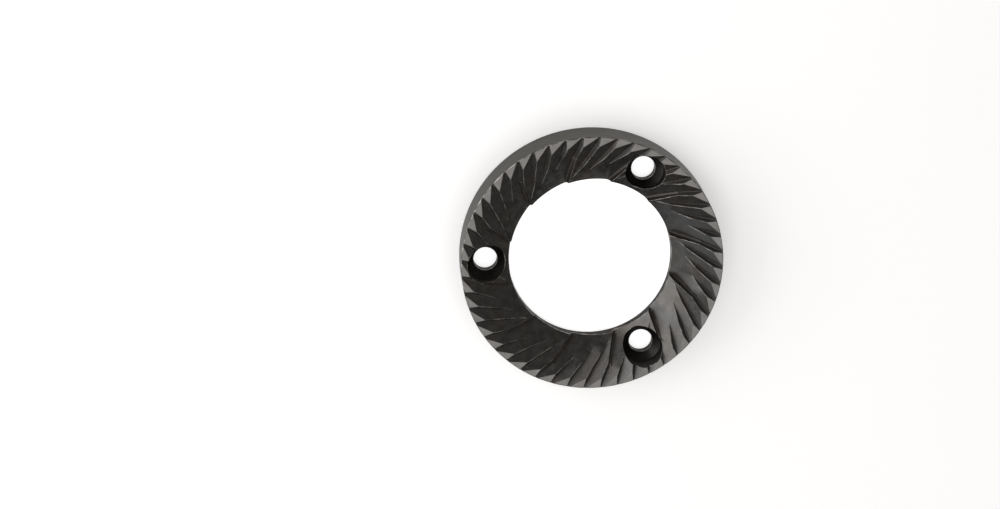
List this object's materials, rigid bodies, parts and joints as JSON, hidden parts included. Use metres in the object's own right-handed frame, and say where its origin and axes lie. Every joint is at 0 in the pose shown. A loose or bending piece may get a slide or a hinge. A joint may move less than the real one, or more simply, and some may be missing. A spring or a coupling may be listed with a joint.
{
  "type": "coffee grinder burr",
  "caption": "Flat grinding burr: a thick dark steel ring with slanted fine teeth round its rim, ramps that fall to its bore, and sunk screw holes.",
  "frame": {"origin": "centre of the bore on the back face", "axes": "+Z along the axis of the ring, towards the teeth; +X through the first screw hole"},
  "size_m": [0.064, 0.064, 0.01],
  "materials": {
    "hardened_steel": "dark from heat treatment, with the tooth lands and the rim ground to a satin grey"
  },
  "bodies": {
    "root": {"burr": "hardened_steel"}
  },
  "joints": []
}
